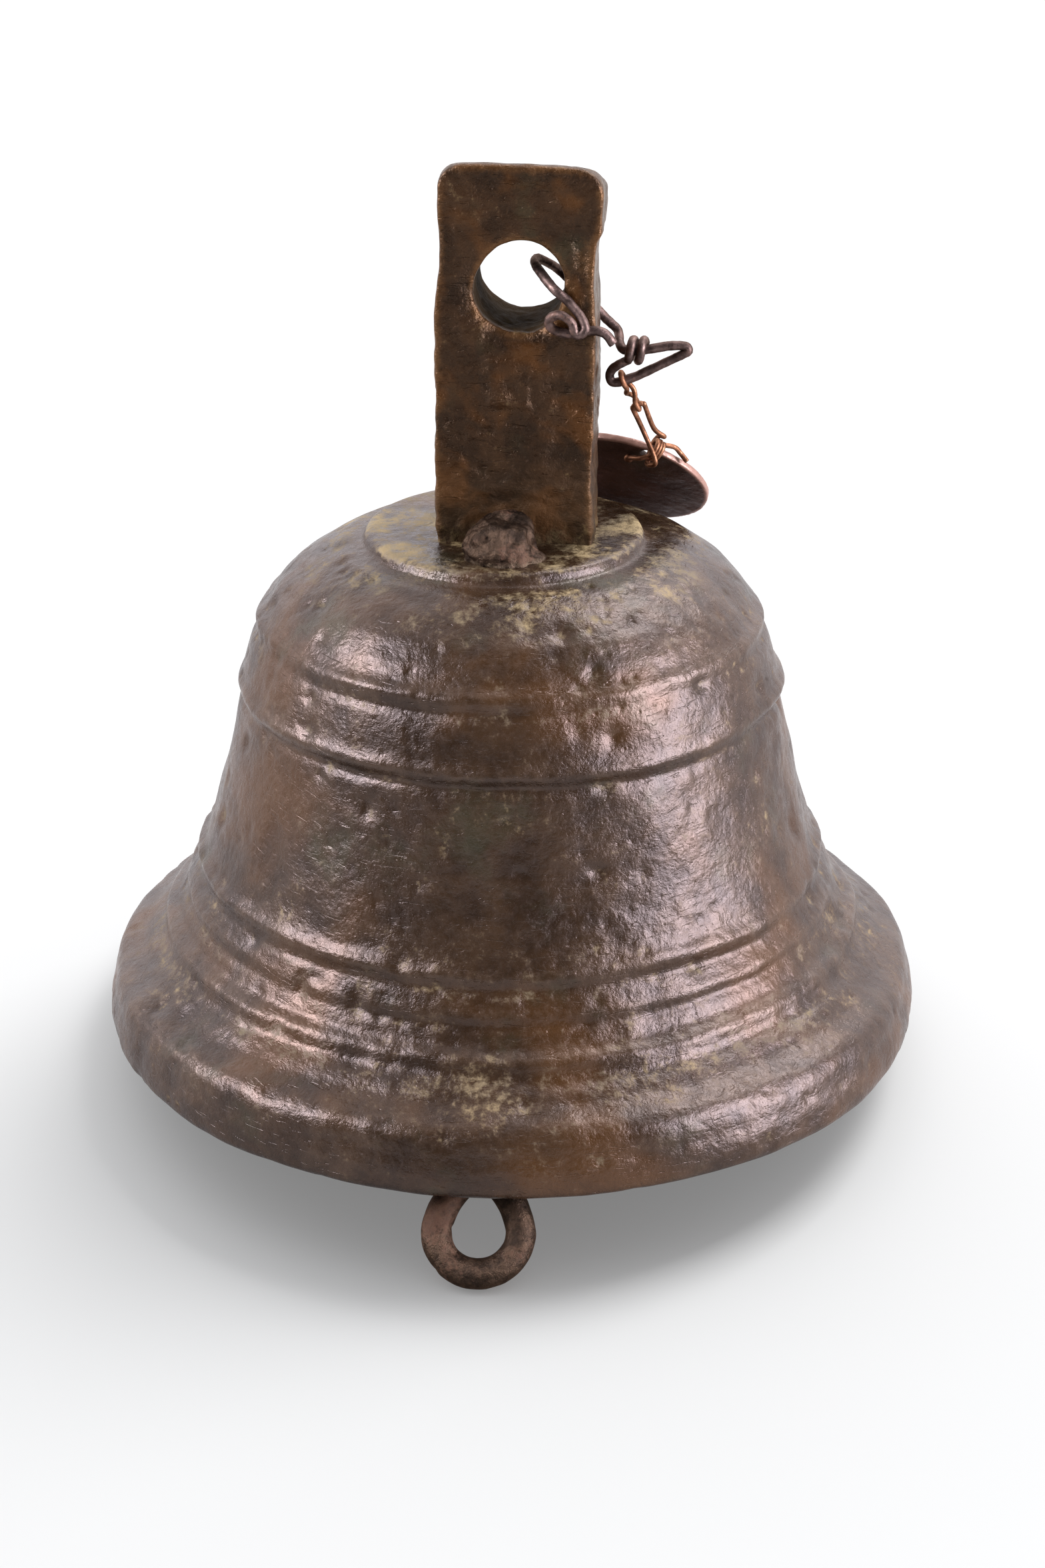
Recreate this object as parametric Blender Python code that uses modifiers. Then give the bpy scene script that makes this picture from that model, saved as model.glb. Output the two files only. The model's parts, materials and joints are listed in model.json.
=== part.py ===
"""A small cast bell with a bar for hanging, an iron clapper and a tag on a wire.

Units are metres and +Z is up. The bell is set down on a flat surface: it leans back on the
back of its lip, and the tail of the clapper holds up the front of the lip. The bell is drawn
in its own frame, with the mouth at z = 0 and the axis along z, and one empty leans all of it.
"""

import math

import bpy
import bmesh
from mathutils import Euler, Matrix, Vector

GAP = 0.0003                   # left between pieces that touch

# Bell
RIM_RADIUS = 0.1000
RIM_FOOT_RADIUS = 0.0985       # outer edge of the flat under the lip
RIM_INNER_RADIUS = 0.0925
PLATE_RADIUS = 0.0330          # raised round plate on the crown
PLATE_HEIGHT = 0.1247
CROWN_HEIGHT = 0.1216          # where the plate stands on the shoulder
CROWN_UNDERSIDE = 0.1130
BELL_FACETS = 64

# The bar, the staple and the clapper share a plane turned a little from the bell's front
CROWN_YAW = math.radians(-4.5)

# Hanging bar
BAR_CENTRE = 0.0018
BAR_WIDTH = 0.0365
BAR_THICKNESS = 0.0240
BAR_TOP = 0.2132
BAR_FOOT = 0.1207              # its foot is let 4 mm into the crown plate
BAR_CORNER = 0.0055
BAR_EDGE = 0.0016
BAR_TOP_SLOPE = math.radians(27)   # the top falls away towards the back
BAR_TOP_FLAT = 0.0030              # how far behind the front face the slope starts
HOLE_CENTRE = (0.0026, 0.1855)
HOLE_RADIUS = 0.0106

# Staple that carries the clapper
STAPLE_WIRE = 0.0035           # radius
STAPLE_REACH = 0.0160          # half the distance between its legs
PIVOT_HEIGHT = 0.0970
LUMP_SIZE = (0.0088, 0.0086, 0.0072)

# Clapper, measured along its rod from the pivot
SWING_ANGLE = math.radians(41.5)
ROD_RADIUS = 0.0031
TOP_EYE = 0.0167
TOP_EYE_RADIUS = 0.0078
BALL_PLACE = 0.1072
BALL_RADIUS = 0.0122
TAIL_EYE = 0.1440
TAIL_EYE_RADIUS = 0.0096
TAIL_EYE_NECK = 0.1300

# Wires and tag
IRON_WIRE = 0.0011             # radii
COPPER_WIRE = 0.00055
WIRE_PIVOT = Vector((0.0080, 0.0, 0.1870))
COIL_START = Vector((0.0272, 0.0080, 0.1660))
COIL_RADIUS = 0.00240
COIL_PITCH = 0.00245
COIL_TURNS = 1.6
HOOK_POINT = Vector((0.0262, 0.0080, 0.1587))
HOOK_STRAND = Vector((0.0042, 0, 0.0015))
LINK_END = Vector((0.0292, 0.0121, 0.1518))
LINK_TOP_RADIUS = 0.0020
LINK_END_RADIUS = 0.00145
TAG_CENTRE = Vector((0.0269, 0.0350, 0.1261))
TAG_TURN = Euler((math.radians(45), math.radians(10), math.radians(-8.5)))
TAG_RADIUS = 0.0200
TAG_THICKNESS = 0.0017
TAG_HOLE_RADIUS = 0.0016
TAG_HOLE_PLACE = 0.0170        # from the tag's centre
TAG_HOLE_ANGLE = math.radians(27)


def clear_scene():
    for obj in list(bpy.data.objects):
        bpy.data.objects.remove(obj, do_unlink=True)


def new_collection(name):
    collection = bpy.data.collections.new(name)
    bpy.context.scene.collection.children.link(collection)
    return collection


def material(name, colour, roughness, metallic):
    mat = bpy.data.materials.new(name)
    mat.use_nodes = True
    shader = mat.node_tree.nodes["Principled BSDF"]
    shader.inputs["Base Color"].default_value = (*colour, 1)
    shader.inputs["Roughness"].default_value = roughness
    shader.inputs["Metallic"].default_value = metallic
    return mat


def empty(name, parent, place=(0, 0, 0), turn=(0, 0, 0)):
    obj = bpy.data.objects.new(name, None)
    PARTS.objects.link(obj)
    obj.parent = parent
    obj.location = place
    obj.rotation_euler = turn
    return obj


def mesh_object(name, mesh, parent, mat=None, collection=None):
    obj = bpy.data.objects.new(name, mesh)
    (collection or PARTS).objects.link(obj)
    obj.parent = parent
    if mat:
        mesh.materials.append(mat)
    return obj


def finish_round(obj):
    obj.data.shade_smooth()
    obj.data.set_sharp_from_angle(angle=math.radians(35))


def helper(obj):
    obj.hide_render = True
    obj.display_type = "WIRE"


def boolean(obj, other, operation):
    modifier = obj.modifiers.new(f"{operation.lower()}_{other.name}", "BOOLEAN")
    modifier.operation = operation
    modifier.object = other


def primitive(name, parent, build, mat=None, collection=None):
    """A mesh object from one bmesh operator call."""
    mesh = bpy.data.meshes.new(name)
    bm = bmesh.new()
    build(bm)
    bm.to_mesh(mesh)
    bm.free()
    return mesh_object(name, mesh, parent, mat, collection)


def turned(name, profile, facets, parent, mat):
    """Turns a profile of (radius, height) about z. It runs down the outer side first."""
    mesh = bpy.data.meshes.new(name)
    points = [(radius, 0, height) for radius, height in profile]
    closed = profile[0][0] > 0
    edges = [(i, i + 1) for i in range(len(points) - 1)]
    if closed:
        edges.append((len(points) - 1, 0))
    mesh.from_pydata(points, edges, [])
    obj = mesh_object(name, mesh, parent, mat)
    screw = obj.modifiers.new("turn", "SCREW")
    screw.steps = screw.render_steps = facets
    screw.use_merge_vertices = True
    screw.merge_threshold = 0.00001
    screw.use_smooth_shade = True
    return obj


def smooth_route(points, steps, cyclic=False):
    """Points along a Catmull-Rom curve through the given ones, steps to each span."""
    given = [Vector(p) for p in points]
    count = len(given)
    route = []
    for i in range(count if cyclic else count - 1):
        if cyclic:
            a, b, c, d = (given[(i + k) % count] for k in (-1, 0, 1, 2))
        else:
            b, c = given[i], given[i + 1]
            a = given[i - 1] if i else 2 * b - c
            d = given[i + 2] if i + 2 < count else 2 * c - b
        for step in range(steps):
            t = step / steps
            route.append(0.5 * (2 * b + (c - a) * t + (2 * a - 5 * b + 4 * c - d) * t**2
                                + (3 * b - a - 3 * c + d) * t**3))
    if not cyclic:
        route.append(given[-1])
    return route


def wire(name, route, radius, parent, mat, cyclic=False):
    curve = bpy.data.curves.new(name, "CURVE")
    curve.dimensions = "3D"
    curve.bevel_depth = radius
    curve.bevel_resolution = 2
    curve.use_fill_caps = True
    spline = curve.splines.new("POLY")
    spline.points.add(len(route) - 1)
    for point, place in zip(spline.points, route):
        point.co = (*place, 1)
    spline.use_cyclic_u = cyclic
    return mesh_object(name, curve, parent, mat)


def as_mesh(curve_object, mat=None, collection=None):
    """Replaces a curve object by a mesh object with its caps welded."""
    bpy.context.view_layer.update()
    graph = bpy.context.evaluated_depsgraph_get()
    mesh = bpy.data.meshes.new_from_object(curve_object.evaluated_get(graph))
    bm = bmesh.new()
    bm.from_mesh(mesh)
    bmesh.ops.remove_doubles(bm, verts=bm.verts, dist=1e-6)
    bmesh.ops.recalc_face_normals(bm, faces=bm.faces)
    bm.to_mesh(mesh)
    bm.free()
    name, parent = curve_object.name, curve_object.parent
    world = curve_object.matrix_world.copy()
    bpy.data.objects.remove(curve_object, do_unlink=True)
    mesh.materials.clear()
    obj = mesh_object(name, mesh, parent, mat, collection)
    obj.matrix_world = world
    return obj


def arc(centre, radius, start, end, steps):
    """(across, up) points of an arc, angles in degrees from the across direction."""
    angles = [math.radians(start + (end - start) * i / steps) for i in range(steps + 1)]
    return [(centre[0] + radius * math.cos(a), centre[1] + radius * math.sin(a)) for a in angles]


def lean_angle():
    """The lean that puts the back of the lip and the clapper's tail on one plane."""
    tail = TAIL_EYE + TAIL_EYE_RADIUS
    run = RIM_FOOT_RADIUS + tail * math.sin(SWING_ANGLE) * math.cos(CROWN_YAW)
    drop = tail * math.cos(SWING_ANGLE) - PIVOT_HEIGHT
    return math.atan2(drop, run) + math.asin(ROD_RADIUS / math.hypot(run, drop))


# ---------------------------------------------------------------- bell

def bead(radius, height, rise, half_width):
    """The three points of a raised wire around the bell: in, crest and in again."""
    return [(radius - 0.0006, height + half_width), (radius + rise, height),
            (radius - 0.0004, height - half_width)]


def bell_outside():
    """(radius, height) down the outside, from the axis to the foot of the lip."""
    plate = [(0, PLATE_HEIGHT), (PLATE_RADIUS - 0.0008, PLATE_HEIGHT),
             (PLATE_RADIUS, PLATE_HEIGHT - 0.0007), (PLATE_RADIUS, CROWN_HEIGHT)]
    shoulder = [(0.0390, 0.1212), (0.0457, 0.1182), (0.0518, 0.1140), (0.0556, 0.1100)]
    upper_band = bead(0.0596, 0.1040, 0.0008, 0.0016) + [(0.0625, 0.0970), (0.0640, 0.0920)]
    upper_band += bead(0.0648, 0.0882, 0.0007, 0.0018)
    waist = [(0.0655, 0.0820), (0.0673, 0.0740), (0.0691, 0.0660), (0.0712, 0.0580),
             (0.0737, 0.0500)]
    lower_band = bead(0.0762, 0.0440, 0.0010, 0.0018) + [(0.0790, 0.0370), (0.0818, 0.0310)]
    lower_band += bead(0.0842, 0.0270, 0.0008, 0.0016)
    flare = [(0.0895, 0.0225), (0.0932, 0.0192), (0.0963, 0.0160)]
    lip = [(0.0986, 0.0125), (0.1002, 0.0080), (RIM_RADIUS + 0.0004, 0.0040),
           (RIM_RADIUS - 0.0002, 0.0012), (RIM_FOOT_RADIUS, 0)]
    return plate + shoulder + upper_band + waist + lower_band + flare + lip


def bell_inside():
    """(radius, height) up the inside, from the foot of the lip to the axis."""
    sound_bow = [(RIM_INNER_RADIUS, 0), (0.0905, 0.0030), (0.0878, 0.0100), (0.0852, 0.0180)]
    wall = [(0.0800, 0.0270), (0.0745, 0.0370), (0.0695, 0.0470), (0.0655, 0.0600),
            (0.0622, 0.0750), (0.0590, 0.0880), (0.0550, 0.0980)]
    crown = [(0.0490, 0.1065), (0.0400, 0.1115), (0.0290, CROWN_UNDERSIDE), (0, CROWN_UNDERSIDE)]
    return sound_bow + wall + crown


def make_bell_shell():
    shell = turned("bell_shell", bell_outside() + bell_inside(), BELL_FACETS, BELL, BRONZE)
    for side in (-1, 1):
        hole = primitive(f"leg_hole_cutter_{'front' if side < 0 else 'back'}", CROWN,
                         lambda bm: bmesh.ops.create_cone(
                             bm, cap_ends=True, segments=20, depth=0.03,
                             radius1=STAPLE_WIRE + GAP, radius2=STAPLE_WIRE + GAP),
                         collection=CUTTERS)
        hole.location = (0, side * STAPLE_REACH, 0.118)
        helper(hole)
        boolean(shell, hole, "DIFFERENCE")
    pocket = primitive("bar_pocket_cutter", CROWN, lambda bm: bmesh.ops.create_cube(bm, size=1),
                       collection=CUTTERS)
    pocket.scale = (BAR_WIDTH + 2 * GAP, BAR_THICKNESS + 2 * GAP, 0.020)
    pocket.location = (BAR_CENTRE, 0, BAR_FOOT - GAP + 0.010)
    helper(pocket)
    boolean(shell, pocket, "DIFFERENCE")
    return shell


def make_hanging_bar():
    """A flat bar with a round hole: an outline in x and z, as thick as the bar in y."""
    left, right = BAR_CENTRE - BAR_WIDTH / 2, BAR_CENTRE + BAR_WIDTH / 2
    inset = BAR_CORNER
    outline = [(left, BAR_FOOT), (right, BAR_FOOT)]
    outline += arc((right - inset, BAR_TOP - inset), inset, 0, 90, 6)
    outline += arc((left + inset, BAR_TOP - inset), inset, 90, 180, 6)
    hole = arc(HOLE_CENTRE, HOLE_RADIUS, 0, 360, 36)[:-1]
    curve = bpy.data.curves.new("hanging_bar", "CURVE")
    curve.dimensions = "2D"
    curve.fill_mode = "BOTH"
    curve.extrude = BAR_THICKNESS / 2
    for points in (outline, hole):
        spline = curve.splines.new("POLY")
        spline.points.add(len(points) - 1)
        for point, (across, up) in zip(spline.points, points):
            point.co = (across, up, 0, 1)
        spline.use_cyclic_u = True
    flat = mesh_object("hanging_bar", curve, CROWN)
    flat.rotation_euler = (math.radians(90), 0, 0)
    bar = as_mesh(flat, BAR_BRONZE)
    slope = primitive("bar_top_cutter", CROWN, lambda bm: bmesh.ops.create_cube(bm, size=0.08),
                      collection=CUTTERS)
    slope.data.transform(Matrix.Translation((0, 0.04, 0.04)))
    slope.data.transform(Matrix.Rotation(-BAR_TOP_SLOPE, 4, "X"))
    slope.location = (0, BAR_TOP_FLAT - BAR_THICKNESS / 2, BAR_TOP)
    helper(slope)
    boolean(bar, slope, "DIFFERENCE")
    edges = bar.modifiers.new("worn_edges", "BEVEL")
    edges.width = BAR_EDGE
    edges.segments = 2
    edges.limit_method = "ANGLE"
    edges.angle_limit = math.radians(50)
    return bar


def make_crown_staple():
    """A round iron staple through the crown, each end beaten over beside the bar."""
    leg_top = PLATE_HEIGHT + 0.003
    bend = arc((0, PIVOT_HEIGHT), STAPLE_REACH, 180, 360, 20)
    route = [(0, -STAPLE_REACH, leg_top)] + [(0, y, z) for y, z in bend]
    route.append((0, STAPLE_REACH, leg_top))
    staple = as_mesh(wire("crown_staple", route, STAPLE_WIRE, CROWN, IRON), IRON)
    for side, name in ((-1, "front"), (1, "back")):
        lump = primitive(f"staple_lump_{name}", CROWN, lambda bm: bmesh.ops.create_uvsphere(
            bm, u_segments=20, v_segments=12, radius=1), collection=CUTTERS)
        away = BAR_THICKNESS / 2 + GAP + LUMP_SIZE[1]
        lump.location = (-0.0006, side * away, PLATE_HEIGHT + 0.0018)
        lump.scale = LUMP_SIZE
        helper(lump)
        under = primitive(f"lump_foot_cutter_{name}", CROWN,
                          lambda bm: bmesh.ops.create_cube(bm, size=0.03), collection=CUTTERS)
        under.location = (0, side * away, PLATE_HEIGHT + GAP - 0.015)
        helper(under)
        boolean(lump, under, "DIFFERENCE")
        boolean(staple, lump, "UNION")
    return staple


# ---------------------------------------------------------------- clapper

def make_clapper_rod():
    """A round rod bent into an eye at each end, drawn down z from the pivot."""
    rod = primitive("clapper_rod", CLAPPER, lambda bm: bmesh.ops.create_cone(
        bm, cap_ends=True, segments=16, radius1=ROD_RADIUS, radius2=ROD_RADIUS,
        depth=TAIL_EYE_NECK - TOP_EYE - TOP_EYE_RADIUS + 0.006), IRON)
    middle = (TOP_EYE + TOP_EYE_RADIUS + TAIL_EYE_NECK) / 2
    rod.data.transform(matrix_down(middle))
    top = [(x, 0, -TOP_EYE + up) for x, up in arc((0, 0), TOP_EYE_RADIUS, -90, 270, 26)[:-1]]
    low_arc = arc((0, -TAIL_EYE), TAIL_EYE_RADIUS, 170, 370, 18)
    neck = [(0.0068, -TAIL_EYE + 0.0076), (0, -TAIL_EYE_NECK - 0.0005),
            (-0.0068, -TAIL_EYE + 0.0076)]
    tail = [(x, 0, z) for x, z in low_arc + neck]
    for name, route in (("top_eye", top), ("tail_eye", tail)):
        eye = as_mesh(wire(name, route, ROD_RADIUS, CLAPPER, None, cyclic=True),
                      collection=CUTTERS)
        helper(eye)
        boolean(rod, eye, "UNION")
    return rod


def matrix_down(distance):
    """A move down z."""
    return Matrix.Translation((0, 0, -distance))


def make_clapper_ball():
    """A ball with a bore, beaten onto the rod."""
    bore = ROD_RADIUS + GAP
    flat = math.degrees(math.acos(bore / BALL_RADIUS)) - 12
    outer = arc((0, -BALL_PLACE), BALL_RADIUS, flat, -flat, 12)
    half = BALL_RADIUS * math.sin(math.radians(flat))
    profile = outer + [(bore, -BALL_PLACE - half), (bore, -BALL_PLACE + half)]
    return turned("clapper_ball", profile, 28, CLAPPER, IRON_BALL)


# ---------------------------------------------------------------- wires and tag

def make_iron_tie_wire():
    """One heavy wire round the right side of the bar, ending in a three-cornered loop."""
    front = -BAR_THICKNESS / 2 - IRON_WIRE - GAP
    back = -front
    over_front = front - 2 * IRON_WIRE - GAP
    knot = [(0.0246, front, 0.1735), (0.0224, front, 0.1760), (0.0186, front, 0.1765),
            (0.0142, front, 0.1757), (0.0107, front - 0.0004, 0.1769),
            (0.0102, front - 0.0012, 0.1793), (0.0126, over_front, 0.1806),
            (0.0152, over_front, 0.1790), (0.0163, over_front - 0.0003, 0.1762)]
    knot += [(0.0183, over_front, 0.1772), (0.0172, over_front + 0.0012, 0.1800)]
    through = [(0.0142, front, 0.1832), (0.0112, front + 0.0006, 0.1856),
               (0.0082, -0.0080, 0.1876), (0.0060, -0.0020, 0.1888), (0.0062, 0.0030, 0.1886),
               (0.0084, 0.0085, 0.1862), (0.0108, back - 0.0004, 0.1832),
               (0.0158, back, 0.1782), (0.0214, back, 0.1722)]
    arch = [(0.0244, 0.0128, 0.1694), (0.0250, 0.0104, 0.1671), (0.0258, 0.0086, 0.1661)]
    core = [COIL_START, COIL_START + Vector((0.0035, 0, 0.0001))]
    triangle = [(0.0368, 0.0080, 0.1672), (0.0402, 0.0080, 0.1672), (0.0412, 0.0080, 0.1662),
                (0.0400, 0.0080, 0.1653), (0.0355, 0.0080, 0.1630), (0.0290, 0.0080, 0.1597),
                (0.0248, 0.0080, 0.1582), (0.0233, 0.0080, 0.1584), (0.0229, 0.0079, 0.1600),
                (0.0236, 0.0074, 0.1616), (0.0252, 0.0066, 0.1630)]
    turns = []
    steps = 9
    for i in range(int(COIL_TURNS * steps) + 1):
        angle = -math.pi / 2 - 0.5 - math.tau * i / steps
        turns.append(COIL_START + Vector((COIL_PITCH * i / steps, COIL_RADIUS * math.cos(angle),
                                          COIL_RADIUS * math.sin(angle))))
    route = smooth_route(knot + through + arch + core + triangle, 2) + smooth_route(turns, 1)
    return wire("iron_tie_wire", [p - WIRE_PIVOT for p in route], IRON_WIRE, WIRE, IRON)


def hanging_turn(down, strand):
    """The turn that points an empty's -z along down and its x along a strand it hangs on."""
    up = -down.normalized()
    depth = up.cross(strand).normalized()
    return Matrix((depth.cross(up), depth, up)).transposed().to_euler()


def make_copper_link():
    """A narrow link over the iron wire, with the tag's wire through its lower end."""
    length = (LINK_END - HOOK_POINT).length
    top = arc((0, 0), LINK_TOP_RADIUS, 0, 180, 10)
    low = arc((0, -length), LINK_END_RADIUS, 180, 360, 8)
    route = [(0, y, z) for y, z in top + low]
    return wire("copper_link", route, COPPER_WIRE, LINK, COPPER, cyclic=True)


def make_copper_tag_wire():
    """A long narrow loop: one side goes through the tag's hole from its front to its back."""
    frame = TAG_WIRE.matrix_world.inverted()
    hole = frame @ TAG.matrix_world.translation
    turn = (frame @ TAG.matrix_world).to_3x3()
    front, outward = turn @ Vector((0, -1, 0)), turn @ Vector((0, 0, 1))

    def near_hole(forward, out):
        return hole + front * forward + outward * out

    top = [Vector((x, 0, z)) for x, z in arc((0, 0), LINK_END_RADIUS, 0, 180, 8)]
    mid = hole * 0.45
    left = [mid + Vector((-0.0013, 0, 0)), near_hole(0.0042, 0.0052), near_hole(0.0044, 0.0024),
            near_hole(0.0034, 0.0003), near_hole(0.0016, -0.0001)]
    right = [near_hole(-0.0016, -0.0001), near_hole(-0.0030, 0.0008), near_hole(-0.0034, 0.0032),
             near_hole(-0.0022, 0.0062), mid + Vector((0.0013, 0, 0))]
    route = smooth_route(top + left + right, 3, cyclic=True)
    return wire("copper_tag_wire", route, COPPER_WIRE, TAG_WIRE, COPPER, cyclic=True)


def make_tag_disc():
    """A plain round metal tag, hung by a hole near its edge."""
    def cylinder(radius, depth, segments):
        return lambda bm: bmesh.ops.create_cone(bm, cap_ends=True, segments=segments,
                                                radius1=radius, radius2=radius, depth=depth)
    tag = primitive("tag_disc", TAG, cylinder(TAG_RADIUS, TAG_THICKNESS, 56), TAG_BRONZE)
    upright = Euler((math.radians(90), 0, 0)).to_matrix().to_4x4()
    tag.data.transform(upright)
    tag.data.transform(matrix_down(TAG_HOLE_PLACE))
    hole = primitive("tag_hole_cutter", TAG, cylinder(TAG_HOLE_RADIUS, 0.01, 20),
                     collection=CUTTERS)
    hole.data.transform(upright)
    helper(hole)
    boolean(tag, hole, "DIFFERENCE")
    return tag


def set_down():
    """Moves the whole bell so that it stands on z = 0, over the middle of its own box."""
    bpy.context.view_layer.update()
    graph = bpy.context.evaluated_depsgraph_get()
    low, high = Vector((1, 1, 1)), Vector((-1, -1, -1))
    for obj in PARTS.objects:
        if obj.type == "EMPTY":
            continue
        shape = obj.evaluated_get(graph)
        mesh = shape.to_mesh()
        for vertex in mesh.vertices:
            place = obj.matrix_world @ vertex.co
            low = Vector(map(min, low, place))
            high = Vector(map(max, high, place))
        shape.to_mesh_clear()
    middle = (low + high) / 2
    BELL.location -= Vector((middle.x, middle.y, low.z))


clear_scene()
PARTS = new_collection("church_bell")
CUTTERS = new_collection("cutters")

BRONZE = material("bell_bronze", (0.115, 0.070, 0.052), 0.42, 1.0)
BAR_BRONZE = material("bar_bronze", (0.150, 0.072, 0.035), 0.45, 1.0)
IRON = material("rusty_iron", (0.120, 0.070, 0.062), 0.60, 0.8)
IRON_BALL = material("ball_iron", (0.105, 0.060, 0.050), 0.60, 0.8)
COPPER = material("copper_wire", (0.420, 0.190, 0.110), 0.50, 1.0)
TAG_BRONZE = material("tag_bronze", (0.170, 0.070, 0.050), 0.45, 1.0)

BELL = empty("bell_frame", None, turn=(-lean_angle(), 0, 0))
CROWN = empty("crown_frame", BELL, turn=(0, 0, CROWN_YAW))
CLAPPER = empty("clapper_pivot", CROWN, (0, 0, PIVOT_HEIGHT), (-SWING_ANGLE, 0, 0))
WIRE = empty("wire_pivot", CROWN, WIRE_PIVOT)
LINK = empty("link_pivot", WIRE, HOOK_POINT - WIRE_PIVOT,
             hanging_turn(LINK_END - HOOK_POINT, HOOK_STRAND))
LINK_LENGTH = (LINK_END - HOOK_POINT).length
TAG_WIRE = empty("tag_wire_pivot", LINK, (0, 0, -LINK_LENGTH - LINK_END_RADIUS))
TAG_PLANE = empty("tag_plane", CROWN, TAG_CENTRE, TAG_TURN)
TAG_RADIAL = empty("tag_radial", TAG_PLANE, turn=(0, TAG_HOLE_ANGLE, 0))
TAG = empty("tag_pivot", TAG_RADIAL, (0, 0, TAG_HOLE_PLACE))
bpy.context.view_layer.update()

for made in (make_bell_shell(), make_hanging_bar(), make_crown_staple(), make_clapper_rod(),
             make_clapper_ball(), make_tag_disc()):
    if not made.modifiers or made.modifiers[0].type != "SCREW":
        finish_round(made)
make_iron_tie_wire()
make_copper_link()
make_copper_tag_wire()
set_down()
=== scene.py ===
"""The looks of a small old church bell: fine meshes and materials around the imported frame.

Each piece is drawn in the frame of the part it belongs to, and its mesh is then moved to its
place in the world, so every object sits at the origin. Units are metres.
"""
import json
import math
import random

import bmesh
import bpy
from mathutils import Euler, Matrix, Vector, kdtree, noise


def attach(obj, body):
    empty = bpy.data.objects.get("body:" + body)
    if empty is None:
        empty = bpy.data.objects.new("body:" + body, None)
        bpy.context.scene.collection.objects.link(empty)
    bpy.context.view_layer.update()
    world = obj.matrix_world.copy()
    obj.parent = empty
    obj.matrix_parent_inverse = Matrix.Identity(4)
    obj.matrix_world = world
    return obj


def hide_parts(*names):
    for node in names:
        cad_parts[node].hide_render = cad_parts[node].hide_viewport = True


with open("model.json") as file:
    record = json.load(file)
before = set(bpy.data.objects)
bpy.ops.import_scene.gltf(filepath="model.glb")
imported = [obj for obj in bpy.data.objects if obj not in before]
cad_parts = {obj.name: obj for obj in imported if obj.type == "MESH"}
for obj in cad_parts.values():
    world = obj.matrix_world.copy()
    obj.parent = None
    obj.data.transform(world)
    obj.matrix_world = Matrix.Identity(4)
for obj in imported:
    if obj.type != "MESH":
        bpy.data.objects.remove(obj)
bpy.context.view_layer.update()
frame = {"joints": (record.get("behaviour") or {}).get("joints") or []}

# ---------------------------------------------------------------- sizes that part.py also holds
PIVOT_HEIGHT = 0.0970
PLATE_HEIGHT = 0.1247
CROWN_YAW = math.radians(-4.5)
BAR_CENTRE = 0.0018
BAR_WIDTH = 0.0365
BAR_THICKNESS = 0.0240
BAR_TOP = 0.2132
BAR_FOOT = 0.1207
BAR_CORNER = 0.0055
BAR_TOP_SLOPE = math.radians(27)
BAR_TOP_FLAT = 0.0030
HOLE_CENTRE = (0.0026, 0.1855)
HOLE_RADIUS = 0.0106
STAPLE_WIRE = 0.0035
STAPLE_REACH = 0.0160
LUMP_SIZE = (0.0088, 0.0086, 0.0072)
SWING_ANGLE = math.radians(41.5)
ROD_RADIUS = 0.0031
TOP_EYE = 0.0167
TOP_EYE_RADIUS = 0.0078
BALL_PLACE = 0.1072
BALL_RADIUS = 0.0122
TAIL_EYE = 0.1440
TAIL_EYE_RADIUS = 0.0096
TAIL_EYE_NECK = 0.1300
IRON_WIRE = 0.0011
COPPER_WIRE = 0.00062                      # the CAD's is 0.00055
COIL_START = Vector((0.0272, 0.0080, 0.1660))
COIL_RADIUS = 0.00240
COIL_PITCH = 0.00245
COIL_TURNS = 1.6
HOOK_POINT = Vector((0.0262, 0.0080, 0.1587))
LINK_END = Vector((0.0292, 0.0121, 0.1518))
LINK_TOP_RADIUS = 0.0020
LINK_END_RADIUS = 0.00145
TAG_CENTRE = Vector((0.0269, 0.0350, 0.1261))
TAG_TURN = Euler((math.radians(45), math.radians(10), math.radians(-8.5)))
TAG_RADIUS = 0.0200
TAG_THICKNESS = 0.0017
TAG_HOLE_RADIUS = 0.0016
TAG_HOLE_PLACE = 0.0170
TAG_HOLE_ANGLE = math.radians(27)
GAP = 0.0003

# ---------------------------------------------------------------- sizes that only the looks have
PLATE_SHIFT = -0.0014                      # the crown plate is cast off centre
TAG_HOLE_SHIFT = Vector((-0.0028, 0, 0))   # along the tag's hinge
TAG_HOLE_WEAR = 0.0005                     # how much the wire has widened the tag's hole
ROD_SWELL = (1.04, 0.10)                   # the rod's thickness, and how much more at its tail
BAR_DENT = (0.0172, 0.1925)                # (x, z) of the dent beside the bar's hole
BAR_SCAB = (0.0008, 0.1630)                # (x, z) of the raised patch under the hole

# ---------------------------------------------------------------- frames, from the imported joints
JOINTS = {joint["name"]: joint for joint in frame["joints"]}


def joint_place(name):
    return Vector(JOINTS[name]["pos_m"])


def joint_axis(name):
    return Vector(JOINTS[name]["axis"])


def frame_at(place, across, depth):
    """The frame at a place with the given x and y axes."""
    turn = Matrix((across, depth, across.cross(depth))).transposed().to_4x4()
    return Matrix.Translation(place) @ turn


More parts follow.
